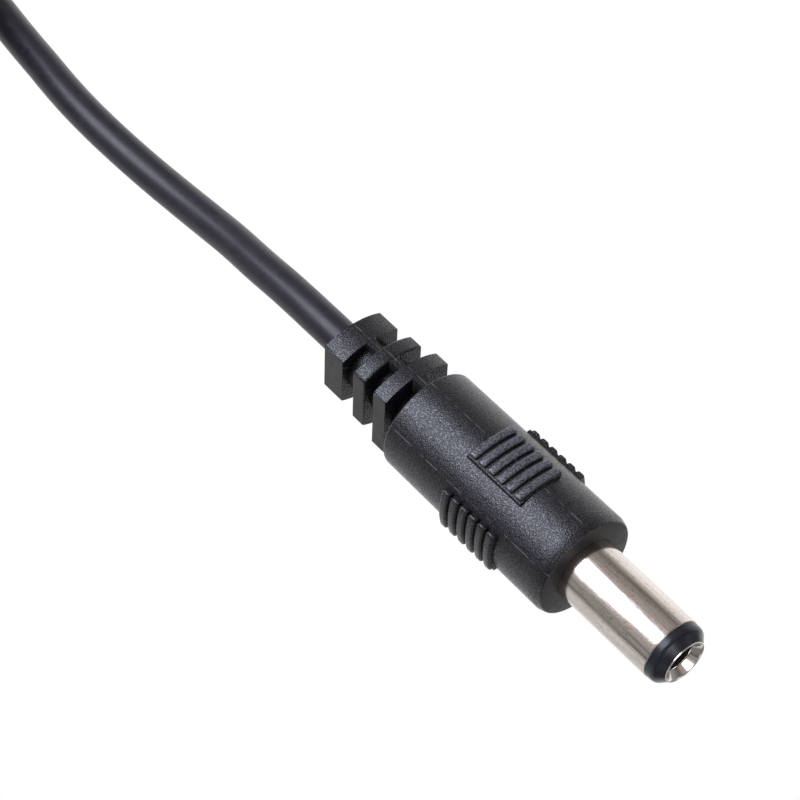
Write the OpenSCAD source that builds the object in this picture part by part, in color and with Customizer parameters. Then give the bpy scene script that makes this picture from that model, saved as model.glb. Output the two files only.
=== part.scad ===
// Moulded DC barrel plug on a round two-core lead.
// The plug lies along X: the tip points to +X, up is +Z, and the origin is on the
// plug's axis at the shoulder, where the sleeve comes out of the moulding.

/* [Barrel sleeve] */
// Outside diameter of the sleeve
sleeve_d = 5.5; // [5.3:0.1:5.8]
// Wall of the sleeve
sleeve_wall = 0.3; // [0.2:0.05:0.35]
// Length of bare sleeve in front of the shoulder
sleeve_out = 9.5; // [8:0.5:12]
// Length of sleeve held inside the moulding
sleeve_in = 5; // [4.5:0.5:6]
// Diameter of the thicker root inside the moulding
root_d = 6; // [5.9:0.1:6.2]
// Depth of the root's front edge behind the shoulder
root_depth = 0.1; // [0.05:0.05:0.15]
// Diameter of the collar that anchors the sleeve
collar_d = 7.2; // [6.6:0.2:7.6]
// Thickness of the collar
collar_t = 1.2; // [0.8:0.1:1.6]
// Depth of the collar behind the shoulder
collar_depth = 1.4; // [1.2:0.1:2]

/* [Nose] */
// Length of the insulating nose in front of the sleeve
nose_len = 1.5; // [1.2:0.1:1.8]
// How far the nose stands back from the sleeve's outside
nose_step = 0.05; // [0:0.05:0.2]
// Taper of the nose's side towards its face
nose_draft = 0.1; // [0.05:0.01:0.15]
// Length of the tapered side of the nose
nose_side = 0.55; // [0.3:0.05:0.8]
// Radius of the rounding between the side and the face
nose_round = 0.3; // [0.1:0.05:0.4]

/* [Centre contact] */
// Bore that takes the jack's pin
bore_d = 2.6; // [2.1:0.1:2.6]
// Wall of the contact tube
contact_wall = 0.25; // [0.15:0.05:0.3]
// Diameter across the flared mouth
mouth_d = 3.7; // [3.5:0.1:3.9]
// Length of the flare
mouth_len = 1.3; // [0.8:0.1:1.6]
// Width of the two spring slits
slit_w = 0.25; // [0.15:0.05:0.4]
// Length of the spring slits
slit_len = 7; // [4:0.5:7.5]

/* [Moulded body] */
// Diameter of the body at the shoulder
body_d = 9.3; // [9:0.1:10]
// Diameter of the body at its rear end
body_rear_d = 9.1; // [8.8:0.1:10]
// Length of the body
body_len = 18.4; // [18:0.2:22]
// Rounding of the front edge
front_round = 0.5; // [0.1:0.05:0.6]
// Rounding of the rear edge
rear_round = 0.2; // [0.1:0.05:0.4]
// Width of the vent notch over the sleeve
notch_w = 0.3; // [0.2:0.05:0.6]
// Depth of the vent notch over the sleeve
notch_deep = 0.45; // [0.2:0.05:0.6]

/* [Grip pads] */
// Number of ribs on a pad
rib_count = 6; // [3:1:8]
// Distance from rib to rib
rib_pitch = 1.02; // [1:0.01:1.3]
// Width of a rib
rib_w = 0.96; // [0.7:0.02:0.98]
// Height of the ribs over the shoulder's radius, in the middle of a pad
rib_rise = 0.35; // [0.3:0.05:0.8]
// Height of the pad between its ribs, over the shoulder's radius
pad_rise = 0.05; // [0.05:0.05:0.2]
// Radius of the arched ribs
pad_arch_r = 8; // [6:0.5:12]
// Width of a pad round the body
pad_w = 4.4; // [3:0.2:5.4]
// Distance from the shoulder to the middle of the pads
pad_mid = 8.3; // [7:0.1:9]

/* [Strain relief] */
// Number of flanges
flange_count = 3; // [2:1:4]
// Thickness of a flange
flange_t = 1.4; // [1:0.1:1.8]
// Thickness of the last flange
flange_end_t = 2.2; // [1.4:0.1:3]
// Gap between flanges
flange_gap = 1.42; // [1:0.02:1.8]
// Width of the first flange
flange_w = 6.35; // [5.4:0.05:7]
// Height of the first flange
flange_h = 7.9; // [7:0.1:8.8]
// Width lost from one flange to the next
flange_w_step = 0.4; // [0:0.02:0.5]
// Height lost from one flange to the next
flange_h_step = 0.92; // [0:0.02:0.98]
// Radius of the arched top and bottom of the flanges
crown_r = 6; // [5:0.1:8]
// Rounding of the flanges' four corners
flange_round = 0.4; // [0.1:0.05:0.6]
// Width of the spine that joins the flanges
spine_w = 0.76; // [0.5:0.02:1.4]
// Rounding where the spine meets a flange
spine_round = 0.25; // [0.1:0.05:0.4]
// Diameter of the core round the cord
core_d = 4.4; // [4:0.1:5]

/* [Inner moulding] */
// Diameter of the inner moulding
inner_d = 7; // [6.6:0.1:7.4]
// Length of the inner moulding behind the collar
inner_len = 14; // [13.4:0.1:14.4]
// Chamfer on the rear of the inner moulding
inner_chamfer = 0.7; // [0.2:0.1:1]

/* [Rear contacts] */
// Thickness of the rear insulating washer
washer_t = 0.8; // [0.6:0.1:1]
// Diameter of the washer's boss
boss_d = 2.4; // [2:0.1:2.6]
// Length of the washer's boss
boss_len = 1.2; // [1:0.1:1.5]
// Thickness of the sleeve's lug
lug_t = 0.4; // [0.3:0.05:0.5]
// Width of the lug's tail
lug_w = 3; // [2.8:0.1:3.2]
// Width of the clamp at the end of the lug
clamp_len = 1.8; // [1.2:0.1:2.4]
// Opening between the clamp's fingers
clamp_gap = 0.8; // [0.5:0.1:1.5]
// Diameter of the contact's rear pin
pin_d = 1.2; // [1:0.1:1.4]
// Length of the contact's rear pin
pin_len = 2.6; // [2.2:0.1:3]
// Diameter of the solder cup
cup_d = 1.9; // [1.6:0.1:2.2]
// Length of the solder cup
cup_len = 2.4; // [1.8:0.1:2.8]
// Depth of the hole in the solder cup
cup_hole = 2; // [1:0.1:2.2]

/* [Lead] */
// Diameter of the cord
cord_d = 3.1; // [2.9:0.1:3.1]
// Diameter of one insulated core
wire_d = 1.3; // [1.2:0.1:1.4]
// Diameter of one strand bundle
strand_d = 0.8; // [0.6:0.1:0.9]
// Distance from the shoulder to the cord's end inside the plug
jacket_in = 13.8; // [13.6:0.1:14.2]
// Length of each core past the cord's far end
tail_core_len = 5.5; // [5:0.5:6]
// Length of each tinned end
tip_len = 2.5; // [2:0.5:3]

/* [Coil] */
// Radius of the outer column of turns
coil_outer_r = 17.1; // [17.1:0.1:17.5]
// Layers of turns in the coil
coil_layers = 5; // [2:1:6]
// Thickness of the tie
tie_t = 0.5; // [0.3:0.1:0.8]
// Width of the tie
tie_w = 3.5; // [2.5:0.5:5]

/* [Hidden] */
$fn = 48;
eps = 0.01;
far = 20;

sleeve_r = sleeve_d / 2;
sleeve_bore_r = sleeve_r - sleeve_wall;
nose_r = sleeve_r - nose_step;
nose_tip_x = sleeve_out + nose_len;
bore_r = bore_d / 2;
contact_r = bore_r + contact_wall;
mouth_r = mouth_d / 2;
body_r = body_d / 2;
body_rear_r = body_rear_d / 2;

collar_front_x = -collar_depth;
collar_rear_x = collar_front_x - collar_t;
inner_rear_x = collar_rear_x - inner_len;
lug_front_x = -sleeve_in;
lug_rear_x = lug_front_x - lug_t;
washer_front_x = lug_front_x + washer_t;
boss_rear_x = lug_front_x - boss_len;
clamp_rear_x = -jacket_in - 0.4 - clamp_len;
cup_front_x = washer_front_x - pin_len;
cup_rear_x = cup_front_x - cup_len;
cup_floor_x = cup_rear_x + cup_hole;

rib_crest_r = body_r + rib_rise;
pad_root_z = collar_d / 2 + 0.2;
pad_len = (rib_count - 1) * rib_pitch + rib_w;
floor_z = -rib_crest_r;

cord_r = cord_d / 2;
wire_r = wire_d / 2;
wire_y = wire_r + 0.03;
wire_gap = 0.06;
lug_top_z = -cord_r + 0.15;
black_z = lug_top_z + wire_r + wire_gap;
strip_x = cup_rear_x - 1;
sleeve_joint_x = cup_rear_x - 0.4;

// Flange positions, widths and heights, counted from the body.
function flange_front(i) = -body_len - flange_gap - i * (flange_t + flange_gap);
function flange_thick(i) = i == flange_count - 1 ? flange_end_t : flange_t;
function flange_rear(i) = flange_front(i) - flange_thick(i);
function flange_width(i) = flange_w - i * flange_w_step;
function flange_height(i) = flange_h - i * flange_h_step;
relief_rear_x = flange_rear(flange_count - 1);

// The cord on its way from the plug to the coil: it droops from the strain relief
// and then lies on the surface under the plug.
cord_rest_z = floor_z + cord_r;
cord_drop = [-0.2, -0.65, -1.3, -2, -2.65, -3.15, -3.45];
cord_run = [
    [-32, 0.1], [-36, 0.3], [-40, 0.5], [-44, 0.8], [-48, 0.9], [-52, 0.9], [-56, 0.8],
    [-60, 0.7], [-64, 0.7], [-68, 0.9], [-72, 1.3], [-76, 1.7], [-80, 2.2], [-84, 2.7],
    [-88, 3.3], [-92, 3.9], [-95.2, 4.4]
];

// The coil stands beside the end of the run, and the run meets it as a tangent.
coil_x = -97.2;
coil_y = -12.5;
coil_inner_r = coil_outer_r - cord_d;
coil_in = coil_inner_r - cord_r;
coil_out = coil_outer_r + cord_r;
coil_top_z = floor_z + coil_layers * cord_d;
tie_at = 200;
tie_slack = 0.05;
tie_in = sqrt(pow(coil_in, 2) - pow(tie_w / 2, 2)) - tie_slack;

// The far end leaves the inner column and curls into the middle of the coil.
tail_turn_r = 11;
tail_start = -25;
tail_sweep = 150;
tail_cx = coil_x + (coil_inner_r - tail_turn_r) * cos(tail_start);
tail_cy = coil_y + (coil_inner_r - tail_turn_r) * sin(tail_start);
tail_end = tail_start + tail_sweep;

// ---- helpers ----

// Turns a shape that stands on Z so that it lies along X.
module along_x() {
    rotate([0, 90, 0]) children();
}

// Cylinder on the plug's axis between two X positions.
module rod(d, x0, x1) {
    translate([min(x0, x1), 0, 0]) along_x() cylinder(d = d, h = abs(x1 - x0));
}

// Round bar from one point to another.
module bar(a, b, d) {
    v = b - a;
    translate(a)
        rotate([0, acos(v[2] / norm(v)), atan2(v[1], v[0])])
            cylinder(d = d, h = norm(v));
}

// Points of a quarter round from angle a0 to a1 about a centre.
function arc(cx, cy, r, a0, a1, steps = 5) =
    [for (i = [0 : steps]) let (a = a0 + (a1 - a0) * i / steps) [cx + r * cos(a), cy + r * sin(a)]];

// Direction of a path at one of its points.
function heading(path, i) =
    let (v = path[min(i + 1, len(path) - 1)] - path[max(i - 1, 0)]) v / norm(v);

// Ring of points round a path, square to it.
function ring(p, dir, r, sides) =
    let (side = cross([0, 0, 1], dir) / norm(cross([0, 0, 1], dir)), up = cross(dir, side))
    [for (k = [0 : sides - 1]) let (a = 360 * (k + 0.5) / sides) p + r * (cos(a) * side + sin(a) * up)];

// Tube swept along a path.
module sweep(path, r, sides = 8) {
    points = [for (i = [0 : len(path) - 1]) each ring(path[i], heading(path, i), r, sides)];
    last = (len(path) - 1) * sides;
    walls = [
        for (i = [0 : len(path) - 2], k = [0 : sides - 1])
            let (a = i * sides + k, b = i * sides + (k + 1) % sides)
            [a, b, b + sides, a + sides]
    ];
    ends = [[for (k = [sides - 1 : -1 : 0]) k], [for (k = [0 : sides - 1]) last + k]];
    polyhedron(points = points, faces = concat([for (f = walls) [f[3], f[2], f[1], f[0]]],
        [for (e = ends) [for (k = [sides - 1 : -1 : 0]) e[k]]]), convexity = 6);
}

// ---- contacts and insulators ----

// Turned and plated brass tube with a thicker root and an anchoring collar.
module barrel_sleeve() {
    color("silver")
        difference() {
            union() {
                rod(sleeve_d, -sleeve_in, sleeve_out);
                rod(root_d, -sleeve_in, -root_depth);
                rod(collar_d, collar_rear_x, collar_front_x);
            }
            rod(sleeve_bore_r * 2, -sleeve_in - 1, sleeve_out + 1);
        }
}

// Outline of the insulator from its rear end to the mouth.
function nose_profile() = concat(
    [[contact_r, washer_front_x], [sleeve_bore_r, washer_front_x],
     [sleeve_bore_r, sleeve_out], [nose_r, sleeve_out]],
    arc(nose_r - nose_draft - nose_round, sleeve_out + nose_side, nose_round, 0, 55),
    [[mouth_r, nose_tip_x], [contact_r, nose_tip_x - mouth_len]]
);

// Black insulating tube whose rounded nose stands in front of the sleeve.
module front_insulator() {
    color([0.1, 0.1, 0.11]) along_x() rotate_extrude() polygon(nose_profile());
}

// Plated spring contact: flared mouth, slit tube, rear pin and solder cup.
module centre_contact() {
    flare_in_x = nose_tip_x - mouth_len;
    color("gainsboro")
        difference() {
            union() {
                rod(contact_r * 2, washer_front_x, flare_in_x);
                along_x() translate([0, 0, flare_in_x])
                    cylinder(r1 = contact_r, r2 = mouth_r, h = mouth_len);
                rod(pin_d, cup_front_x, washer_front_x);
                rod(cup_d, cup_rear_x, cup_front_x);
            }
            rod(bore_d, washer_front_x + 0.4, nose_tip_x + 1);
            along_x() translate([0, 0, flare_in_x])
                cylinder(r1 = bore_r, r2 = mouth_r - 0.08, h = mouth_len + eps);
            rod(strand_d, cup_rear_x - 1, cup_floor_x);
            translate([flare_in_x - 0.6 - slit_len, -far / 2, -slit_w / 2])
                cube([slit_len, far, slit_w]);
        }
}

// Washer that parts the sleeve's lug from the contact's pin.
module rear_insulator() {
    color("ivory")
        difference() {
            union() {
                rod(sleeve_bore_r * 2, lug_front_x, washer_front_x);
                rod(boss_d, boss_rear_x, lug_front_x);
            }
            rod(pin_d, boss_rear_x - 1, washer_front_x + 1);
        }
}

// Tail of the lug, with the two fingers that clamp the cord.
module lug_tail() {
    difference() {
        union() {
            translate([clamp_rear_x, -lug_w / 2, lug_top_z - lug_t])
                cube([lug_front_x - lug_t / 2 - clamp_rear_x, lug_w, lug_t]);
            rod(cord_d + 2 * lug_t, clamp_rear_x, clamp_rear_x + clamp_len);
        }
        rod(cord_d, clamp_rear_x - 1, -jacket_in);
        translate([clamp_rear_x - 1, -clamp_gap / 2, 0]) cube([clamp_len + 2, clamp_gap, far]);
    }
}

// Stamped lug: a ring behind the sleeve, a tail and a clamp on the cord.
module sleeve_lug() {
    color("silver") {
        difference() {
            rod(root_d, lug_rear_x, lug_front_x);
            rod(boss_d, lug_rear_x - 1, lug_front_x + 1);
        }
        lug_tail();
    }
}

// ---- wires and solder inside the plug ----

module red_strands() {
    color("peru") rod(strand_d, strip_x, cup_floor_x);
}

// The black core lies on the lug, clear of the solder cup and of the red core.
black_reach = max((cup_d + strand_d) / 2, wire_d) + wire_gap;
black_y = -sqrt(pow(black_reach, 2) - pow(black_z, 2));

// Path of a core from the cord's end to its strands: straight, across, and straight again.
function core_path(y, z, end_y, end_z) = [
    [-jacket_in, y, z], [-jacket_in + 0.4, y, z], [strip_x - 0.4, end_y, end_z],
    [strip_x, end_y, end_z]
];

module red_core() {
    color("firebrick") sweep(core_path(wire_y, 0, 0, 0), wire_r);
}

module black_strands() {
    color("peru")
        bar([strip_x, black_y, black_z], [sleeve_joint_x + 2.4, black_y, black_z], strand_d);
}

module black_core() {
    color([0.08, 0.08, 0.08]) sweep(core_path(-wire_y, 0, black_y, black_z), wire_r);
}

// Solder that closes the mouth of the cup round the strands.
module centre_solder() {
    color("lightgray")
        difference() {
            along_x() translate([0, 0, cup_rear_x - 0.5])
                cylinder(d1 = strand_d + 0.3, d2 = cup_d, h = 0.5);
            rod(strand_d, cup_rear_x - 1, cup_rear_x + 1);
        }
}

// Solder mound that holds the black strands on the lug's tail.
module sleeve_solder() {
    z = lug_top_z + strand_d / 2 + 0.05;
    color("lightgray")
        difference() {
            bar([sleeve_joint_x + 0.2, black_y, z], [sleeve_joint_x + 2, black_y, z],
                strand_d + 0.2);
            bar([sleeve_joint_x - 1, black_y, black_z], [sleeve_joint_x + 3, black_y, black_z],
                strand_d);
            translate([sleeve_joint_x - 1, -far / 2, lug_top_z - far]) cube([far, far, far]);
        }
}

// ---- mouldings ----

// Outline of the inner moulding, shared with the pocket that it fills.
module inner_outline() {
    along_x() rotate_extrude() polygon([
        [0, inner_rear_x], [inner_d / 2 - inner_chamfer, inner_rear_x],
        [inner_d / 2, inner_rear_x + inner_chamfer], [inner_d / 2, collar_rear_x],
        [0, collar_rear_x]
    ]);
}

// Hard moulding that seals the solder joints before the outer one is shot.
module inner_mould() {
    color("dimgray")
        difference() {
            inner_outline();
            rod(root_d, lug_rear_x, collar_rear_x + 1);
            rod(boss_d, boss_rear_x, lug_rear_x + eps);
            rod(pin_d, cup_front_x, boss_rear_x + eps);
            rod(cup_d, cup_rear_x, cup_front_x);
            rod(cord_d, inner_rear_x - 1, -jacket_in);
            lug_tail();
            centre_solder();
            sleeve_solder();
            red_strands();
            black_strands();
            red_core();
            black_core();
        }
}

// Plain body of revolution with its two rounded edges.
module body() {
    front = arc(body_r - front_round, -front_round, front_round, 0, 90, 4);
    rear = arc(body_rear_r - rear_round, -body_len + rear_round, rear_round, -90, 0, 3);
    along_x() rotate_extrude() polygon(concat([[0, -body_len]], rear, front, [[0, 0]]));
}

// Grip pad on the top: a row of arched ribs, flatter than the body's round side.
module grip_pad() {
    first = -pad_mid - (rib_count - 1) * rib_pitch / 2;
    intersection() {
        translate([0, 0, rib_crest_r - pad_arch_r]) {
            rod((pad_arch_r - rib_rise + pad_rise) * 2, -pad_mid - pad_len / 2,
                -pad_mid + pad_len / 2);
            for (i = [0 : rib_count - 1])
                along_x() translate([0, 0, first + i * rib_pitch])
                    rotate_extrude() translate([pad_arch_r - rib_w / 2, 0]) circle(d = rib_w);
        }
        translate([-pad_mid - pad_len / 2 - 1, -pad_w / 2, pad_root_z])
            cube([pad_len + 2, pad_w, far]);
    }
}

// Flange outline: flat sides, arched top and bottom, round corners.
module flange_outline(w, h) {
    crown_z = h / 2 - crown_r;
    corner_y = w / 2 - flange_round;
    corner_z = crown_z + sqrt(pow(crown_r - flange_round, 2) - pow(corner_y, 2));
    intersection() {
        square([corner_y * 2, h + 1], center = true);
        translate([0, crown_z]) circle(crown_r);
        translate([0, -crown_z]) circle(crown_r);
    }
    intersection() {
        square([w, h], center = true);
        translate([0, crown_z]) circle(crown_r - flange_round);
        translate([0, -crown_z]) circle(crown_r - flange_round);
    }
    for (sy = [-1, 1], sz = [-1, 1])
        translate([sy * corner_y, sz * corner_z]) circle(flange_round);
}

// Slab of the strain relief between two X positions.
module relief_slab(x0, x1, w, h) {
    translate([x0, 0, 0]) rotate([90, 0, 90]) linear_extrude(x1 - x0) flange_outline(w, h);
}

// Opening beside the spine: a slot whose inner corners are rounded.
module slot_plan(x0, x1) {
    y0 = spine_w / 2;
    translate([x0 + spine_round, y0]) square([x1 - x0 - 2 * spine_round, far]);
    translate([x0, y0 + spine_round]) square([x1 - x0, far]);
    for (x = [x0 + spine_round, x1 - spine_round])
        translate([x, y0 + spine_round]) circle(spine_round);
}

// Flanges, joined by a spine above and below and by the core round the cord.
module strain_relief() {
    for (i = [0 : flange_count - 1])
        relief_slab(flange_rear(i), flange_front(i), flange_width(i), flange_height(i));
    for (i = [0 : flange_count - 1])
        difference() {
            relief_slab(flange_front(i), flange_front(i) + flange_gap,
                flange_width(i), flange_height(i));
            for (m = [0, 1]) mirror([0, m, 0]) translate([0, 0, -far / 2])
                linear_extrude(far) slot_plan(flange_front(i), flange_front(i) + flange_gap);
        }
    rod(core_d, relief_rear_x + eps, -body_len + eps);
}

// Outer moulding in black PVC: body, grip pads and strain relief in one shot.
module overmould() {
    color([0.12, 0.12, 0.13])
        difference() {
            union() {
                body();
                for (a = [0 : 90 : 270]) rotate([a, 0, 0]) grip_pad();
                strain_relief();
            }
            rod(sleeve_d, -root_depth - eps, 1);
            rod(root_d, collar_front_x - eps, -root_depth);
            rod(collar_d, collar_rear_x, collar_front_x);
            inner_outline();
            rod(cord_d, relief_rear_x - 1, inner_rear_x + eps);
            translate([-notch_deep, -notch_w / 2, 0])
                cube([notch_deep + 1, notch_w, sleeve_r + notch_deep]);
        }
}

// ---- lead ----

function drop(i) = i < len(cord_drop) ? cord_drop[i] : cord_rest_z;
cord_path = concat(
    [[-jacket_in, 0, 0], [-20, 0, 0], [relief_rear_x, 0, 0]],
    [for (i = [0 : len(cord_run) - 1]) [cord_run[i][0], cord_run[i][1], drop(i)]]
);

// Free stretch of the cord, from inside the plug to the coil.
module cord() {
    color([0.13, 0.13, 0.14]) sweep(cord_path, cord_r);
}

// Places children at the coil's centre, turned so that X points at the tie.
module at_coil() {
    translate([coil_x, coil_y, 0]) rotate([0, 0, tie_at]) children();
}

// Wound length of the cord, with room under it for the tie.
module cord_coil() {
    color([0.13, 0.13, 0.14])
        at_coil() difference() {
            rotate_extrude() translate([coil_in, floor_z])
                square([coil_out - coil_in, coil_top_z - floor_z]);
            translate([tie_in - 1, -tie_w / 2 - tie_slack, floor_z - 1])
                cube([coil_out - tie_in + 2, tie_w + 2 * tie_slack, tie_t + tie_slack + 1]);
        }
}

// Strap tie round the coil.
module coil_tie() {
    color([0.2, 0.2, 0.21])
        at_coil() difference() {
            translate([tie_in - tie_t, -tie_w / 2, floor_z])
                cube([coil_out + tie_slack - tie_in + 2 * tie_t, tie_w,
                    coil_top_z + tie_slack + tie_t - floor_z]);
            translate([tie_in, -far, floor_z + tie_t])
                cube([coil_out + tie_slack - tie_in, 2 * far,
                    coil_top_z + tie_slack - floor_z - tie_t]);
        }
}

// Point a distance past the end of the tail's turn, and off to one side of it.
function tail_point(across, along, z) =
    let (c = [cos(tail_end), sin(tail_end)], t = [-sin(tail_end), cos(tail_end)],
         p = [tail_cx, tail_cy] + c * (tail_turn_r + across) + t * along)
    [p[0], p[1], z];

tail_stub = 0.5;
tail_path = concat(
    [for (a = [tail_start : tail_sweep / 8 : tail_end + eps])
        [tail_cx + tail_turn_r * cos(a), tail_cy + tail_turn_r * sin(a), cord_rest_z]],
    [tail_point(0, tail_stub, cord_rest_z)]
);

// Last stretch of the cord, inside the coil.
module cord_tail() {
    color([0.13, 0.13, 0.14]) sweep(tail_path, cord_r);
}

// Point of a core past the cord's far end: side is -1 or 1.
function core_point(side, along, z) = tail_point(side * wire_y, tail_stub + along, z);

module core_tail(side) {
    rest = floor_z + wire_r;
    sweep([core_point(side, 0, cord_rest_z), core_point(side, 0.4, cord_rest_z),
           core_point(side, 3.5, rest), core_point(side, tail_core_len, rest)], wire_r);
}

module tinned_tip(side) {
    rest = floor_z + wire_r;
    bar(core_point(side, tail_core_len, rest), core_point(side, tail_core_len + tip_len, rest),
        strand_d);
}

module red_core_tail() {
    color("firebrick") core_tail(1);
}

module black_core_tail() {
    color([0.08, 0.08, 0.08]) core_tail(-1);
}

module red_tinned_tip() {
    color("lightgray") tinned_tip(1);
}

module black_tinned_tip() {
    color("lightgray") tinned_tip(-1);
}

overmould();
inner_mould();
barrel_sleeve();
sleeve_lug();
front_insulator();
centre_contact();
rear_insulator();
centre_solder();
sleeve_solder();
red_core();
black_core();
red_strands();
black_strands();
cord();
cord_coil();
cord_tail();
coil_tie();
red_core_tail();
black_core_tail();
red_tinned_tip();
black_tinned_tip();
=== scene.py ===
import math
import bpy
from mathutils import Matrix, Vector


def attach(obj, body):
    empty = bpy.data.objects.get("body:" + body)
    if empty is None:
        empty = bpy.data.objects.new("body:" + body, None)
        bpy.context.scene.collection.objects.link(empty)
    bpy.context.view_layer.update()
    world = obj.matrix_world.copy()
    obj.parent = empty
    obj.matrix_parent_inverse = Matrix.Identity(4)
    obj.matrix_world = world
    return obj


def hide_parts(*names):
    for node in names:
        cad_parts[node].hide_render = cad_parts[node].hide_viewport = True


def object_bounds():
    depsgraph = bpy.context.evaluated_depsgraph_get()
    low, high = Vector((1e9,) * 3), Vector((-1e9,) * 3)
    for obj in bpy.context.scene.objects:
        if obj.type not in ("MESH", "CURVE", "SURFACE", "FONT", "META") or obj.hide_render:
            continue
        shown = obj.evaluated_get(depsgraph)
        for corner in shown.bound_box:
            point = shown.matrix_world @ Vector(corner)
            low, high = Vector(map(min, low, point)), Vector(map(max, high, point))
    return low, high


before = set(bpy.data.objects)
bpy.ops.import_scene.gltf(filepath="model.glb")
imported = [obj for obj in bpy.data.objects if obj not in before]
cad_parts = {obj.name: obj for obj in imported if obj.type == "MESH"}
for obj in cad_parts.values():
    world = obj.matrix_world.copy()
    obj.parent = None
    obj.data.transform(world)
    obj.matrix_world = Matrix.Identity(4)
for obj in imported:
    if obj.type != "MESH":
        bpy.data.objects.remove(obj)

cad_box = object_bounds()

# Camera: a long lens on the shoulder of the plug, from the front, above and to the left.
# The plug runs from the upper left corner to the lower right one, and the lead leaves
# the view at its upper left corner.
MM = 0.001
camera_azimuth = math.radians(47.9)
camera_elevation = math.radians(51.01)
camera_roll = math.radians(2.67)
camera_distance = 220 * MM
camera_lens = 131.2
camera_aim = Vector((-16.67, -4.51, 7.56)) * MM

level = Vector((math.cos(camera_azimuth), math.sin(camera_azimuth), 0))
ahead = Vector((-math.sin(camera_azimuth), math.cos(camera_azimuth), 0))
look = ahead * math.cos(camera_elevation) - Vector((0, 0, math.sin(camera_elevation)))
upright = level.cross(look)
right = level * math.cos(camera_roll) + upright * math.sin(camera_roll)
top = right.cross(look)

camera_data = bpy.data.cameras.new("camera")
camera_data.lens = camera_lens
camera_data.clip_start = 0.01
camera = bpy.data.objects.new("camera", camera_data)
camera.matrix_world = Matrix.Translation(camera_aim - look * camera_distance) @ Matrix(
    (right, top, -look)).transposed().to_4x4()
bpy.context.collection.objects.link(camera)
bpy.context.scene.camera = camera


# Lead: a round two-core cord with a smooth black PVC jacket, extruded over the cores. It
# comes out of the strain relief, droops to the surface and runs to a tied coil of two
# columns, one inside the other. The far end curls into the middle of the coil.
cord_d = 3.1 * MM
cord_r = cord_d / 2
floor_z = cad_box[0].z
rest_z = floor_z + cord_r
relief_rear = Vector((-27.66, 0, 0)) * MM
droop = [-0.2, -0.65, -1.3, -2, -2.65, -3.15, -3.4]
cord_run = [
    (-32, 0.1), (-36, 0.3), (-40, 0.5), (-44, 0.8), (-48, 0.9), (-52, 0.9), (-56, 0.8),
    (-60, 0.7), (-64, 0.7), (-68, 0.9), (-72, 1.3), (-76, 1.7), (-80, 2.2), (-84, 2.7),
    (-88, 3.3), (-92, 3.9)
]
inside_plug = (-13.8, -18, -23)
cord_line = [Vector((x, 0, 0)) * MM for x in inside_plug] + [relief_rear]
for k, (x, y) in enumerate(cord_run):
    z = droop[k] * MM if k < len(droop) else rest_z
    cord_line.append(Vector((x * MM, y * MM, max(z, rest_z))))

# The run meets the coil at first_angle, and each turn climbs or sinks by one layer between
# step_from and step_to. All these are degrees round the coil.
coil_centre = Vector((-97.2, -12.5, 0)) * MM
outer_r = 17.1 * MM
inner_r = outer_r - cord_d
layers = 5
first_angle = 83
knot_step = 12
step_from, step_to = -25, 65
crossing_lift = 1.2


def eased(share):
    """Share of a move that starts and ends softly."""
    share = min(max(share, 0), 1)
    return share * share * (3 - 2 * share)


def coil_point(turn, angle):
    """Point of the coil: up the outer column, over to the inner one, and down it."""
    moved = eased((angle - step_from - 360) / (step_to - step_from))
    radius, height = outer_r, min(turn + moved, layers - 1)
    if turn == layers - 1:
        radius = outer_r - cord_d * moved
        height = layers - 1 + crossing_lift * moved * (1 - moved)
    if turn >= layers:
        radius, height = inner_r, 2 * layers - 1 - turn - moved
    a = math.radians(angle)
    flat = Vector((math.cos(a), math.sin(a), 0)) * radius
    return coil_centre + flat + Vector((0, 0, rest_z + height * cord_d))


tail_turn_r = 11 * MM
tail_from, tail_to = 335, 485
tail_step = 15
jacket_end = tail_to + 3
for turn in range(2 * layers):
    last = turn == 2 * layers - 1
    for angle in range(first_angle, tail_from if last else first_angle + 360, knot_step):
        cord_line.append(coil_point(turn, angle))
spoke = Vector((math.cos(math.radians(tail_from)), math.sin(math.radians(tail_from)), 0))
tail_centre = coil_centre + spoke * (inner_r - tail_turn_r) + Vector((0, 0, rest_z))
for angle in (*range(tail_from, tail_to + 1, tail_step), jacket_end):
    a = math.radians(angle)
    cord_line.append(tail_centre + Vector((math.cos(a), math.sin(a), 0)) * tail_turn_r)

cord_curve = bpy.data.curves.new("cord_run", "CURVE")
cord_curve.dimensions = "3D"
cord_curve.bevel_depth = cord_r
cord_curve.bevel_resolution = 7
cord_curve.use_fill_caps = True
cord_curve.resolution_u = 6
line = cord_curve.splines.new("BEZIER")
line.bezier_points.add(len(cord_line) - 1)
for knot, place in zip(line.bezier_points, cord_line):
    knot.co = place
    knot.handle_left_type = knot.handle_right_type = "AUTO"
lead = bpy.data.objects.new("lead", cord_curve)
bpy.context.collection.objects.link(lead)


def new_material(name):
    """Material with its shader, its output and the object's own coordinates in metres."""
    made = bpy.data.materials.new(name)
    made.use_nodes = True
    nodes = made.node_tree.nodes
    shader = nodes["Principled BSDF"]
    place = nodes.new("ShaderNodeTexCoord").outputs["Object"]
    return made, made.node_tree, shader, place


def grain(tree, place, scale, detail=4, rough=0.6):
    """Noise from 0 to 1 whose cells are about 1 / scale metres wide."""
    noise = tree.nodes.new("ShaderNodeTexNoise")
    noise.inputs["Scale"].default_value = scale
    noise.inputs["Detail"].default_value = detail
    noise.inputs["Roughness"].default_value = rough
    tree.links.new(place, noise.inputs["Vector"])
    return noise.outputs["Fac"]


def spread(tree, value, low, high, to_low, to_high):
    """Maps a value from one range to another."""
    ramp = tree.nodes.new("ShaderNodeMapRange")
    for socket, number in zip(("From Min", "From Max", "To Min", "To Max"),
                              (low, high, to_low, to_high)):
        ramp.inputs[socket].default_value = number
    tree.links.new(value, ramp.inputs["Value"])
    return ramp.outputs["Result"]


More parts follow.
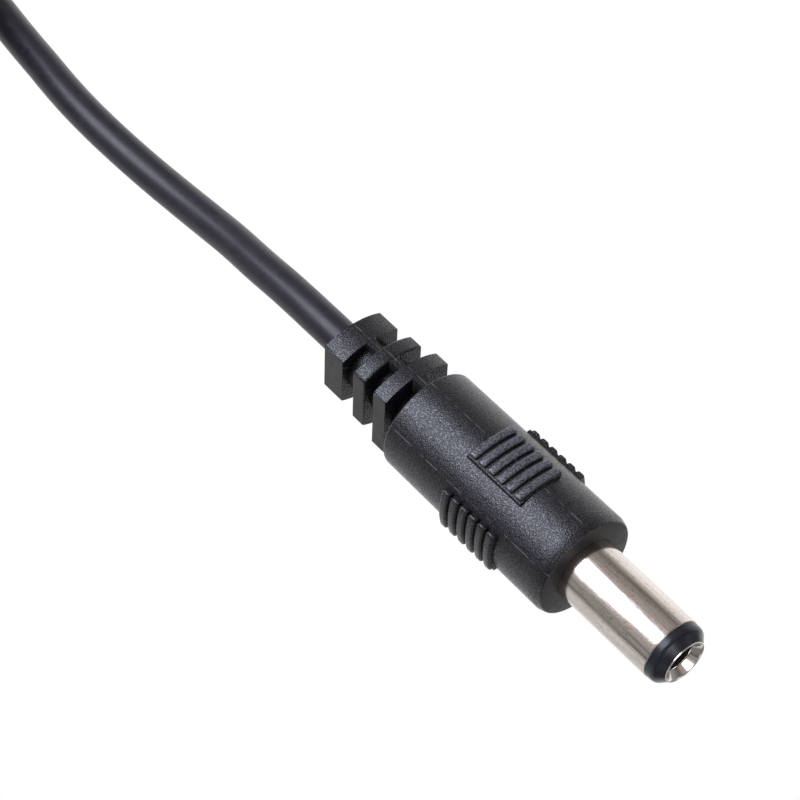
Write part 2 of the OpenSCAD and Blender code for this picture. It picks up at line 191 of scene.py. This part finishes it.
def bump(tree, shader, height, depth, strength=1):
    """Raises the surface by depth, in metres, where height is 1."""
    relief = tree.nodes.new("ShaderNodeBump")
    relief.inputs["Strength"].default_value = strength
    relief.inputs["Distance"].default_value = depth
    tree.links.new(height, relief.inputs["Height"])
    tree.links.new(relief.outputs["Normal"], shader.inputs["Normal"])


def between(tree, value, start, end):
    """Colour that goes from start, a colour or a socket, to end as value goes from 0 to 1."""
    blend = tree.nodes.new("ShaderNodeMix")
    blend.data_type = "RGBA"
    first, second = [socket for socket in blend.inputs if socket.type == "RGBA"]
    if isinstance(start, tuple):
        first.default_value = (*start, 1)
    else:
        tree.links.new(start, first)
    second.default_value = (*end, 1)
    tree.links.new(value, blend.inputs["Factor"])
    return [socket for socket in blend.outputs if socket.type == "RGBA"][0]


jacket_pvc, tree, shader, place = new_material("jacket_pvc")
shader.inputs["Specular IOR Level"].default_value = 0.3
mottle = grain(tree, place, 900)
tone = between(tree, mottle, (0.011, 0.01, 0.015), (0.02, 0.019, 0.026))
tree.links.new(tone, shader.inputs["Base Color"])
tree.links.new(spread(tree, mottle, 0.3, 0.7, 0.3, 0.4), shader.inputs["Roughness"])
bump(tree, shader, grain(tree, place, 2500, 3), 0.012 * MM, 0.5)
lead.data.materials.append(jacket_pvc)
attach(lead, "root")
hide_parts("cord", "cord_coil", "cord_tail")


# Overmould: one shot of soft black PVC over the sealed inner moulding. The body is a plain
# turned form with a soft front edge, ribbed grip pads stand on its four sides, and a
# strain relief of three flanges on a thin spine holds the lead.
body_r = 4.65 * MM
body_rear_r = 4.55 * MM
body_len = 18.4 * MM
sleeve_r = 2.75 * MM


def only(piece):
    """Makes the piece the one that the operators act on."""
    bpy.ops.object.select_all(action="DESELECT")
    piece.select_set(True)
    bpy.context.view_layer.objects.active = piece


def arc(x, r, size, start, end, steps=6):
    """Points (x, r) of an arc about a centre, its angle measured from +X towards +r."""
    turns = [math.radians(start + (end - start) * k / steps) for k in range(steps + 1)]
    return [(x + size * math.cos(a), r + size * math.sin(a)) for a in turns]


def turned(name, outline, closed=False, steps=128):
    """Piece turned round the X axis from an outline of (x, r) points."""
    mesh = bpy.data.meshes.new(name)
    edges = [(k, k + 1) for k in range(len(outline) - 1)]
    if closed:
        edges.append((len(outline) - 1, 0))
    mesh.from_pydata([(x, 0, r) for x, r in outline], edges, [])
    piece = bpy.data.objects.new(name, mesh)
    bpy.context.collection.objects.link(piece)
    only(piece)
    bpy.ops.object.mode_set(mode="EDIT")
    bpy.ops.mesh.select_all(action="SELECT")
    bpy.ops.mesh.spin(steps=steps, angle=2 * math.pi, center=(0, 0, 0), axis=(1, 0, 0))
    bpy.ops.mesh.select_all(action="SELECT")
    bpy.ops.mesh.remove_doubles(threshold=1e-7)
    bpy.ops.mesh.normals_make_consistent(inside=False)
    bpy.ops.object.mode_set(mode="OBJECT")
    bpy.ops.object.shade_smooth_by_angle(angle=math.radians(32))
    return piece


def finished(piece):
    """Applies the piece's modifiers and its place, and shades it smooth."""
    only(piece)
    for modifier in list(piece.modifiers):
        bpy.ops.object.modifier_apply(modifier=modifier.name)
    bpy.ops.object.transform_apply(location=True, rotation=True, scale=True)
    bpy.ops.object.shade_smooth_by_angle(angle=math.radians(32))
    return piece


def cut(piece, point, normal):
    """Cuts off what lies past a plane and closes the cut."""
    only(piece)
    bpy.ops.object.mode_set(mode="EDIT")
    bpy.ops.mesh.select_all(action="SELECT")
    bpy.ops.mesh.bisect(plane_co=point, plane_no=normal, use_fill=True, clear_outer=True)
    bpy.ops.object.mode_set(mode="OBJECT")


def joined(name, pieces):
    """Joins pieces into one mesh."""
    bpy.ops.object.select_all(action="DESELECT")
    for piece in pieces:
        piece.select_set(True)
    bpy.context.view_layer.objects.active = pieces[0]
    bpy.ops.object.join()
    pieces[0].name = name
    return pieces[0]


def soften(piece, width, segments=3, angle=35):
    """Rounds the piece's sharp edges."""
    edge = piece.modifiers.new("edge", "BEVEL")
    edge.width = width
    edge.segments = segments
    edge.limit_method = "ANGLE"
    edge.angle_limit = math.radians(angle)


rear_round = 0.2 * MM
taper_steps = 24
sleeve_seat = [(-0.45, 2.65), (-0.02, 2.77)]
front_edge = [(0, 4.38), (-0.03, 4.45), (-0.1, 4.5), (-0.3, 4.56), (-0.5, 4.61), (-0.62, 4.65)]
taper = [k / taper_steps for k in range(2, taper_steps)]
body = turned("body", [(x * MM, r * MM) for x, r in sleeve_seat + front_edge]
    + [(-body_len * share, body_r + (body_rear_r - body_r) * share) for share in taper]
    + arc(-body_len + rear_round, body_rear_r - rear_round, rear_round, 90, 180)
    + [(-body_len, 0)])

# Each pad is a low plate with six ribs across it, all arched about one centre. The plate is
# cut back at one side, where the ribs' ends stand free.
rib_count = 6
rib_pitch = 1.02 * MM
rib_crest = body_r + 0.35 * MM
rib_outline = [(-0.42, -0.9), (-0.42, -0.3), (-0.34, 0), (0.34, 0), (0.42, -0.3), (0.42, -0.9)]
rib_half_angle = math.radians(15.9375)
rib_round = 0.18 * MM
pad_floor = body_r + 0.05 * MM
pad_arch_r = 8 * MM
pad_past_rib = 0.48 * MM
pad_w = 4.4 * MM
pad_mid = -8.3 * MM
pad_root = 3.9 * MM
free_end = 0.5 * MM

arch_centre = Vector((0, 0, rib_crest - pad_arch_r))
rib = turned("rib", [(x * MM, pad_arch_r + up * MM) for x, up in rib_outline], True, 64)
rib.location = arch_centre
finished(rib)
for side in (-1, 1):
    cut(rib, arch_centre, (0, side * math.cos(rib_half_angle), -math.sin(rib_half_angle)))
soften(rib, rib_round, 4, 50)
finished(rib)
ribs = []
for k in range(rib_count):
    copy = bpy.data.objects.new("rib", rib.data.copy())
    bpy.context.collection.objects.link(copy)
    copy.location.x = pad_mid + (k - (rib_count - 1) / 2) * rib_pitch
    ribs.append(copy)
bpy.data.objects.remove(rib)

pad_len = (rib_count - 1) * rib_pitch + 2 * pad_past_rib
bpy.ops.mesh.primitive_cylinder_add(
    vertices=192, radius=pad_arch_r - rib_crest + pad_floor, depth=pad_len,
    location=(pad_mid, 0, rib_crest - pad_arch_r), rotation=(0, math.pi / 2, 0))
pad_plate = finished(bpy.context.object)
cut(pad_plate, (0, pad_w / 2 - free_end, 0), (0, 1, 0))
cut(pad_plate, (0, -pad_w / 2, 0), (0, -1, 0))
cut(pad_plate, (0, 0, pad_root), (0, 0, -1))
pad = joined("pad", [pad_plate] + ribs)
finished(pad)
pads = [pad]
for quarter in (1, 2, 3):
    copy = bpy.data.objects.new("pad", pad.data.copy())
    bpy.context.collection.objects.link(copy)
    copy.rotation_euler.x = quarter * math.pi / 2
    pads.append(finished(copy))

# The flanges are flat at the sides and arched above and below. Each is narrower and lower
# than the one before it, the last is the thickest, and a thin spine ties them to the body.
flange_gap = 1.42 * MM
flange_t = (1.4 * MM, 1.4 * MM, 2.2 * MM)
flange_w = (6.35 * MM, 5.95 * MM, 5.55 * MM)
flange_h = (7.9 * MM, 6.98 * MM, 6.06 * MM)
crown_r = 6 * MM
flange_corner = 0.4 * MM
flange_edge = 0.15 * MM
spine_w = 0.76 * MM
spine_round = 0.25 * MM
spine_under_crown = 0.02 * MM
core_r = 2.2 * MM
core_under_rear = 0.02 * MM


def flange(x_front, thick, width, height):
    """Flange cut from a disc: arched top, flat sides, its lower half the mirror of the upper."""
    bpy.ops.mesh.primitive_cylinder_add(
        vertices=256, radius=crown_r, depth=thick, rotation=(0, math.pi / 2, 0),
        location=(x_front - thick / 2, 0, height / 2 - crown_r))
    plate = finished(bpy.context.object)
    cut(plate, (0, width / 2, 0), (0, 1, 0))
    cut(plate, (0, -width / 2, 0), (0, -1, 0))
    only(plate)
    bpy.ops.object.mode_set(mode="EDIT")
    bpy.ops.mesh.select_all(action="SELECT")
    bpy.ops.mesh.bisect(plane_co=(0, 0, 0), plane_no=(0, 0, -1), clear_outer=True)
    bpy.ops.object.mode_set(mode="OBJECT")
    other_half = plate.modifiers.new("other_half", "MIRROR")
    other_half.use_axis = (False, False, True)
    other_half.merge_threshold = 1e-7
    finished(plate)
    plate.data.set_sharp_from_angle(angle=math.radians(30))
    corners = plate.data.attributes.new("bevel_weight_edge", "FLOAT", "EDGE")
    for edge in plate.data.edges:
        a, b = (plate.data.vertices[v].co for v in edge.vertices)
        at_side = abs(abs(a.y) - width / 2) < 1e-6 and abs(abs(b.y) - width / 2) < 1e-6
        if at_side and abs(a.x - b.x) > thick * 0.9 and abs(a.z) > height * 0.3:
            corners.data[edge.index].value = 1
    rounding = plate.modifiers.new("corner", "BEVEL")
    rounding.width = flange_corner
    rounding.segments = 5
    rounding.limit_method = "WEIGHT"
    finished(plate)
    soften(plate, flange_edge, 3, 50)
    return finished(plate)


def web(x_rear, long, tall):
    """Spine between two flanges, thicker where it meets them."""
    bpy.ops.mesh.primitive_cube_add(size=1, location=(x_rear + long / 2, 0, 0))
    spine = bpy.context.object
    spine.scale = (long - 2 * spine_round, spine_w, tall)
    finished(spine)
    for side in (-1, 1):
        only(spine)
        face = max(spine.data.polygons, key=lambda f: f.center.x * side)
        for part in (*spine.data.vertices, *spine.data.edges, *spine.data.polygons):
            part.select = False
        face.select = True
        bpy.ops.object.mode_set(mode="EDIT")
        half, out = spine_w / 2, 0
        for angle in range(15, 91, 15):
            a = math.radians(angle)
            wider = spine_w / 2 + spine_round * (1 - math.cos(a))
            further = spine_round * math.sin(a)
            bpy.ops.mesh.extrude_region_move(
                TRANSFORM_OT_translate={"value": (side * (further - out), 0, 0)})
            bpy.ops.transform.resize(value=(1, wider / half, 1))
            half, out = wider, further
        bpy.ops.object.mode_set(mode="OBJECT")
    bpy.ops.object.shade_smooth_by_angle(angle=math.radians(32))
    return spine


relief = []
x_front = -body_len - flange_gap
for thick, width, height in zip(flange_t, flange_w, flange_h):
    relief.append(flange(x_front, thick, width, height))
    relief.append(web(x_front, flange_gap, height - 2 * spine_under_crown))
    x_front -= thick + flange_gap
core_rear = x_front + flange_gap + core_under_rear
bpy.ops.mesh.primitive_cylinder_add(
    vertices=96, radius=core_r, depth=-body_len - core_rear,
    location=((core_rear - body_len) / 2, 0, 0), rotation=(0, math.pi / 2, 0))
relief.append(finished(bpy.context.object))

overmould = joined("overmould_skin", [body] + pads + relief)

# Spark-eroded PVC: near black, a fine grain of shallow pits that catches the light in
# specks. The flat faces of the relief and the front come off a smoother part of the tool.
def sums(tree, kind, a, b=0):
    """Result of one sum on one or two values, sockets or numbers."""
    step = tree.nodes.new("ShaderNodeMath")
    step.operation = kind
    for socket, value in zip(step.inputs, (a, b)):
        if isinstance(value, (int, float)):
            socket.default_value = value
        else:
            tree.links.new(value, socket)
    return step.outputs["Value"]


grained_pvc, tree, shader, place = new_material("grained_pvc")
shader.inputs["Specular Tint"].default_value = (0.93, 0.94, 1, 1)
pits = grain(tree, place, 8800, 2, 0.5)
fine = spread(tree, pits, 0.38, 0.62, 0, 1)
tone = between(tree, fine, (0.003, 0.003, 0.004), (0.009, 0.009, 0.0115))

# Painted highlight on the crests of the upper pad's ribs, the pad under the light: where the
# distance from the centre of the upper pad's arch is the ribs' own.
where = tree.nodes.new("ShaderNodeSeparateXYZ")
tree.links.new(place, where.inputs["Vector"])
y, z = where.outputs["Y"], where.outputs["Z"]
rise = sums(tree, "ADD", z, pad_arch_r - rib_crest)
reach = sums(tree, "SQRT", sums(tree, "ADD", sums(tree, "MULTIPLY", rise, rise),
                                sums(tree, "MULTIPLY", y, y)))
painted_crest_highlight = spread(tree, reach, pad_arch_r - 0.12 * MM, pad_arch_r - 0.04 * MM, 0, 1)
painted_crest_highlight = sums(tree, "MULTIPLY", painted_crest_highlight, sums(tree, "GREATER_THAN", z, pad_root))
# Painted highlight: the grain specks on the upper pad's crests are painted lighter and bluish.
tone = between(tree, sums(tree, "MULTIPLY", painted_crest_highlight, fine), tone, (0.1, 0.105, 0.125))

# Hair lines: broken lines along the body where the parts of the tool met. The seams are real; their
# lightness is a painted glint along them.
seam_angles = (1.2, -59)
seam_from, seam_to = 0.015 * MM, 0.04 * MM
seam_glint = 0
for seam_angle in seam_angles:
    a = math.radians(seam_angle)
    off = sums(tree, "ADD", sums(tree, "MULTIPLY", y, math.cos(a)),
               sums(tree, "MULTIPLY", z, -math.sin(a)))
    seam = spread(tree, sums(tree, "ABSOLUTE", off), seam_from, seam_to, 1, 0)
    seam_glint = sums(tree, "ADD", seam, seam_glint)
seam_glint = sums(tree, "MULTIPLY", seam_glint, spread(tree, grain(tree, place, 900, 2), 0.45, 0.6, 0, 1))
# Painted glint: the seam lines are lightened in the base colour.
tone = between(tree, seam_glint, tone, (0.11, 0.107, 0.11))
tree.links.new(tone, shader.inputs["Base Color"])
tree.links.new(spread(tree, pits, 0.35, 0.65, 0.36, 0.22), shader.inputs["Roughness"])
tree.links.new(spread(tree, fine, 0.1, 0.9, 0.3, 0.62), shader.inputs["Specular IOR Level"])
bump(tree, shader, fine, 0.0125 * MM)

smooth_pvc, tree, shader, place = new_material("smooth_pvc")
shader.inputs["Specular IOR Level"].default_value = 0.3
shader.inputs["Specular Tint"].default_value = (1, 0.95, 0.95, 1)
cloud = grain(tree, place, 1600, 3)
tone = between(tree, cloud, (0.011, 0.0095, 0.01), (0.02, 0.0175, 0.0185))
tree.links.new(tone, shader.inputs["Base Color"])
tree.links.new(spread(tree, cloud, 0.3, 0.7, 0.36, 0.5), shader.inputs["Roughness"])
bump(tree, shader, cloud, 0.02 * MM, 0.6)

overmould.data.materials.clear()
overmould.data.materials.append(grained_pvc)
overmould.data.materials.append(smooth_pvc)
facing = 0.97
margin = 0.1 * MM
for face in overmould.data.polygons:
    on_front = face.normal.x > facing and face.center.x > -margin
    on_flat = abs(face.normal.y) > facing and face.center.x < -body_len - margin
    face.material_index = 1 if on_front or on_flat else 0
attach(overmould, "root")
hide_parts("overmould")


# Barrel sleeve: turned brass tube with nickel plate. Its rim is rolled over a little, fine
# marks run along it, and it has small worn specks. A collar keeps it in the moulding.
sleeve_wall = 0.3 * MM
sleeve_front = 9.5 * MM
sleeve_rear = -5 * MM
rim_round = 0.13 * MM
root_r = 3 * MM
root_front = -0.1 * MM
collar_r = 3.6 * MM
collar_rear, collar_front = -2.6 * MM, -1.4 * MM
sleeve = turned("sleeve_tube", closed=True, outline=
    [(sleeve_rear, sleeve_r - sleeve_wall), (sleeve_rear, root_r), (collar_rear, root_r),
     (collar_rear, collar_r), (collar_front, collar_r), (collar_front, root_r),
     (root_front, root_r), (root_front, sleeve_r)]
    + arc(sleeve_front - rim_round, sleeve_r - rim_round, rim_round, 90, 0)
    + arc(sleeve_front - rim_round, sleeve_r - sleeve_wall + rim_round, rim_round, 0, -90))

nickel, tree, shader, place = new_material("turned_nickel")
shader.inputs["Metallic"].default_value = 1
stretch = tree.nodes.new("ShaderNodeMapping")
stretch.inputs["Scale"].default_value = (0.03, 1, 1)
tree.links.new(place, stretch.inputs["Vector"])
marks = grain(tree, stretch.outputs["Vector"], 8500, 2)
haze = grain(tree, place, 260, 3)
lines = spread(tree, marks, 0.36, 0.64, 0, 1)
tone = between(tree, lines, (0.53, 0.475, 0.435), (0.66, 0.61, 0.575))
worn = grain(tree, place, 5200, 2)
tone = between(tree, spread(tree, worn, 0.56, 0.7, 0, 1), tone, (0.42, 0.34, 0.29))
tree.links.new(tone, shader.inputs["Base Color"])
tree.links.new(spread(tree, haze, 0.3, 0.7, 0.11, 0.18), shader.inputs["Roughness"])
stipple = sums(tree, "MULTIPLY", worn, 0.5)
bump(tree, shader, sums(tree, "ADD", lines, stipple), 0.0022 * MM)
sleeve.data.materials.append(nickel)
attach(sleeve, "root")
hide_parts("barrel_sleeve")


# Nose: the end of the black insulating tube, a smooth moulding that stands out of the
# sleeve, with a short side, a soft edge and a conical face that ends in a low lip.
nose_r = 2.7 * MM
nose_tip = 11 * MM
nose_shoulder = 9.95 * MM
nose_round = 0.6 * MM
nose_step = 0.03 * MM
nose_back = sleeve_front - 0.1 * MM
cone_meets_round = 46
mouth_r = 1.85 * MM
mouth_len = 1.3 * MM
lip = 0.06 * MM
contact_r = 1.55 * MM
washer_front = -4.2 * MM
nose = turned("nose_tube", closed=True, outline=
    [(washer_front, contact_r), (washer_front, sleeve_r - sleeve_wall),
     (nose_back, sleeve_r - sleeve_wall), (nose_back, nose_r)]
    + arc(nose_shoulder, nose_r - nose_step - nose_round, nose_round, 90, cone_meets_round, 10)
    + [(nose_tip - lip, mouth_r + lip), (nose_tip - lip, mouth_r),
       (nose_tip - mouth_len, contact_r)])

nose_plastic, tree, shader, place = new_material("nose_plastic")
faint = grain(tree, place, 1500, 3)
shader.inputs["Specular IOR Level"].default_value = 0.3
shader.inputs["Specular Tint"].default_value = (0.88, 0.94, 1, 1)
tone = between(tree, faint, (0.008, 0.008, 0.011), (0.014, 0.014, 0.018))
tree.links.new(tone, shader.inputs["Base Color"])
tree.links.new(spread(tree, faint, 0.3, 0.7, 0.2, 0.28), shader.inputs["Roughness"])
bump(tree, shader, faint, 0.006 * MM, 0.4)
nose.data.materials.append(nose_plastic)
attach(nose, "root")
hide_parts("front_insulator")


# Centre contact: a turned and nickel-plated brass spring. Its mouth is flared and polished,
# and its bore is rougher and painted dark as shade. Two slits let the tube grip the jack's
# pin, and a stalk and a solder cup stand behind it.
bore_r = 1.3 * MM
bore_end = -3.8 * MM
flare_start = 10.24 * MM
flare_and_lip = [(10.32, 1.32), (10.38, 1.37), (10.9, 1.74), (10.96, 1.79), (11, 1.84), (11, 1.91),
                 (10.97, 1.94), (10.93, 1.94), (10.9, 1.84)]
tube_outside = [(9.7, 1.54), (-4.2, 1.54)]
stalk_and_cup = [(-4.2, 0.6), (-6.8, 0.6), (-6.8, 0.95), (-9.2, 0.95), (-9.2, 0.4), (-7.2, 0.4),
                 (-7.2, 0)]
contact = turned("contact_spring", [(bore_end, 0), (bore_end, bore_r), (flare_start, bore_r)]
    + [(x * MM, r * MM) for x, r in flare_and_lip + tube_outside + stalk_and_cup])

slit_len = 7 * MM
slit_w = 0.25 * MM
slit_mid = 5.6 * MM
slitter_w = 5 * MM
bpy.ops.mesh.primitive_cube_add(size=1, location=(slit_mid, 0, 0))
slitter = bpy.context.object
slitter.scale = (slit_len, slitter_w, slit_w)
finished(slitter)
slits = contact.modifiers.new("slits", "BOOLEAN")
slits.object = slitter
slits.operation = "DIFFERENCE"
slits.solver = "EXACT"
finished(contact)
bpy.data.objects.remove(slitter)

polished, tree, shader, place = new_material("polished_nickel")
shader.inputs["Metallic"].default_value = 1
haze = grain(tree, place, 700, 3)
tone = between(tree, haze, (0.62, 0.58, 0.54), (0.72, 0.68, 0.64))
tree.links.new(tone, shader.inputs["Base Color"])
tree.links.new(spread(tree, haze, 0.3, 0.7, 0.06, 0.12), shader.inputs["Roughness"])
bump(tree, shader, grain(tree, place, 2600, 2), 0.008 * MM, 0.5)

# Painted shade: a near-black, rougher nickel for the inside of the bore, where shade falls.
bore_shade, tree, shader, place = new_material("bore_shade_nickel")
shader.inputs["Metallic"].default_value = 1
shade_mottle = grain(tree, place, 900, 3)
tone = between(tree, shade_mottle, (0.05, 0.045, 0.04), (0.11, 0.1, 0.09))
tree.links.new(tone, shader.inputs["Base Color"])
tree.links.new(spread(tree, shade_mottle, 0.3, 0.7, 0.3, 0.42), shader.inputs["Roughness"])
bump(tree, shader, shade_mottle, 0.01 * MM, 0.5)

contact.data.materials.clear()
contact.data.materials.append(polished)
contact.data.materials.append(bore_shade)
# Faces inside the bore take the painted-shade nickel.
for face in contact.data.polygons:
    off_axis = math.hypot(face.center.y, face.center.z)
    in_bore = bore_end - margin < face.center.x < flare_start + 0.02 * MM
    if in_bore and off_axis < bore_r + 0.01 * MM:
        face.material_index = 1
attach(contact, "root")
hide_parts("centre_contact")


# Sealed pieces: the grey inner moulding, the stamped lug and its washer, the solder, and the
# cores and strands of the lead. The strap tie and the bare far end of the lead lie outside.
def plain(name, dark, light, scale, rough, metal=0, lift=0.01):
    """Material with a cloudy tone, an uneven gloss and a faint relief."""
    made, tree, shader, place = new_material(name)
    shader.inputs["Metallic"].default_value = metal
    cloud = grain(tree, place, scale, 3)
    tree.links.new(between(tree, cloud, dark, light), shader.inputs["Base Color"])
    tree.links.new(spread(tree, cloud, 0.3, 0.7, rough - 0.06, rough + 0.06),
                   shader.inputs["Roughness"])
    bump(tree, shader, cloud, lift * MM, 0.5)
    return made


grey_pvc = plain("grey_pvc", (0.16, 0.16, 0.16), (0.24, 0.24, 0.24), 1500, 0.5)
stamped = plain("stamped_nickel", (0.56, 0.52, 0.48), (0.68, 0.64, 0.59), 1200, 0.28, 1)
ivory = plain("ivory_plastic", (0.7, 0.66, 0.53), (0.82, 0.78, 0.66), 1500, 0.4)
tin = plain("tin_solder", (0.5, 0.5, 0.52), (0.68, 0.68, 0.7), 2500, 0.24, 1, 0.03)
red_pvc = plain("red_insulation", (0.42, 0.015, 0.014), (0.56, 0.03, 0.026), 1500, 0.34)
black_insulation = plain("black_insulation", (0.01, 0.01, 0.012), (0.02, 0.02, 0.023), 1500, 0.34)
copper = plain("copper_strands", (0.6, 0.26, 0.14), (0.8, 0.42, 0.26), 6000, 0.3, 1, 0.03)
strap = plain("strap_nylon", (0.012, 0.012, 0.013), (0.024, 0.024, 0.026), 2500, 0.45)
for nodes, finish in (
        (["inner_mould"], grey_pvc), (["sleeve_lug"], stamped), (["rear_insulator"], ivory),
        (["centre_solder", "sleeve_solder", "red_tinned_tip", "black_tinned_tip"], tin),
        (["red_core", "red_core_tail"], red_pvc),
        (["black_core", "black_core_tail"], black_insulation),
        (["red_strands", "black_strands"], copper), (["coil_tie"], strap)):
    for node in nodes:
        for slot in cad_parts[node].material_slots:
            slot.material = finish


# Light: a soft square light overhead and a weak one on the mouth, in a pale tent of cloth.
# The tent is bright below and behind the plug, with dark gaps beside the overhead light,
# and a dark curtain hangs before the plug. The backdrop is white.
def soft_light(name, place, size, power, colour, aim=(0, 0, 0)):
    """Square light that faces a point."""
    lamp = bpy.data.lights.new(name, "AREA")
    lamp.size = size
    lamp.energy = power
    lamp.color = colour
    light = bpy.data.objects.new(name, lamp)
    light.location = place
    light.rotation_euler = (Vector(aim) - Vector(place)).to_track_quat("-Z", "Y").to_euler()
    bpy.context.collection.objects.link(light)


soft_light("overhead", (-0.28, -0.27, 0.47), 0.45, 5.2, (0.84, 0.88, 1))
soft_light("front", (0.43, -0.13, 0.25), 0.25, 0.8, (0.9, 0.93, 1), (nose_tip, 0, 0))

# Brightness of the cloth by the angle round the plug's axis: -180 is straight down, -90 the
# near side, 0 the top and 90 the far side. The stretch over the top is a little warm.
tent = [(-180, 1.05), (-168, 0.84), (-126, 0.88), (-117, 0.76), (-111, 0.28), (-103, 0.2),
        (-97, 0.48), (-89, 0.4), (-83, 0.26), (-77, 0.5), (-64, 0.6), (0, 0.6), (8, 0.5), (32, 0.4),
        (43, 0.23), (51, 0.3), (60, 0.66), (68, 1), (80, 1.28), (100, 1.38), (130, 1.2),
        (180, 1.05)]
world = bpy.data.worlds.new("tent")
bpy.context.scene.world = world
world.use_nodes = True
tree = world.node_tree
direction = tree.nodes.new("ShaderNodeTexCoord").outputs["Generated"]
split = tree.nodes.new("ShaderNodeSeparateXYZ")
tree.links.new(direction, split.inputs["Vector"])
turned_by = sums(tree, "ARCTAN2", split.outputs["Y"], split.outputs["Z"])
cloth = tree.nodes.new("ShaderNodeValToRGB")
stops = cloth.color_ramp.elements
while len(stops) < len(tent):
    stops.new(0.5)
warm_from, warm_to = -70, 60
for stop, (angle, bright) in zip(stops, tent):
    stop.position = (angle + 180) / 360
    warm = 0.12 if warm_from < angle < warm_to else 0
    stop.color = (bright, bright * (1 - warm * 0.7), bright * (1 - warm), 1)
tree.links.new(spread(tree, turned_by, -math.pi, math.pi, 0, 1), cloth.inputs["Fac"])
curtain_dense = 0.75
curtain_low, curtain_high = (0.2, 0.34), (0.62, 0.74)
forward = split.outputs["X"]
curtain = sums(tree, "MINIMUM", spread(tree, forward, *curtain_low, 0, curtain_dense),
               spread(tree, forward, *curtain_high, curtain_dense, 0))
dimmed = between(tree, curtain, cloth.outputs["Color"], (0.05, 0.045, 0.045))
seen = tree.nodes.new("ShaderNodeLightPath").outputs["Is Camera Ray"]
backdrop = between(tree, seen, dimmed, (1, 1, 1))
tree.links.new(backdrop, tree.nodes["Background"].inputs["Color"])
bpy.context.scene.view_settings.view_transform = "Standard"
